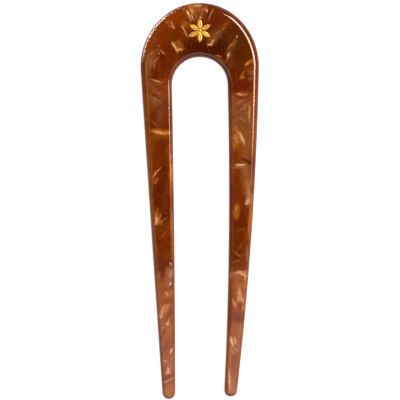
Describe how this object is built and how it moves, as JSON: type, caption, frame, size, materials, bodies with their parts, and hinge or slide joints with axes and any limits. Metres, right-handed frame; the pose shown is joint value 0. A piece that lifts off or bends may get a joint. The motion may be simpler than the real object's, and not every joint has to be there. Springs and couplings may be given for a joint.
{
  "type": "french hair pin",
  "caption": "U-shaped French hair pin in brown pearl acetate, with a rounded crown, long tapered legs and a small gilt rosette on the crown.",
  "frame": {"origin": "on the surface that the pin lies on, midway along its length and width", "axes": "+Y from the tips to the crown, +Z out of the front face, +X to the right with the crown up and the front face towards the viewer"},
  "size_m": [0.0388, 0.13, 0.0041],
  "materials": {
    "pearl_acetate": "marbled brown pearl cellulose acetate, tumble polished to a high gloss",
    "gilt_metal": "polished gilt"
  },
  "bodies": {
    "root": {"pin_body": "pearl_acetate", "gilt_rosette": "gilt_metal"}
  },
  "joints": []
}
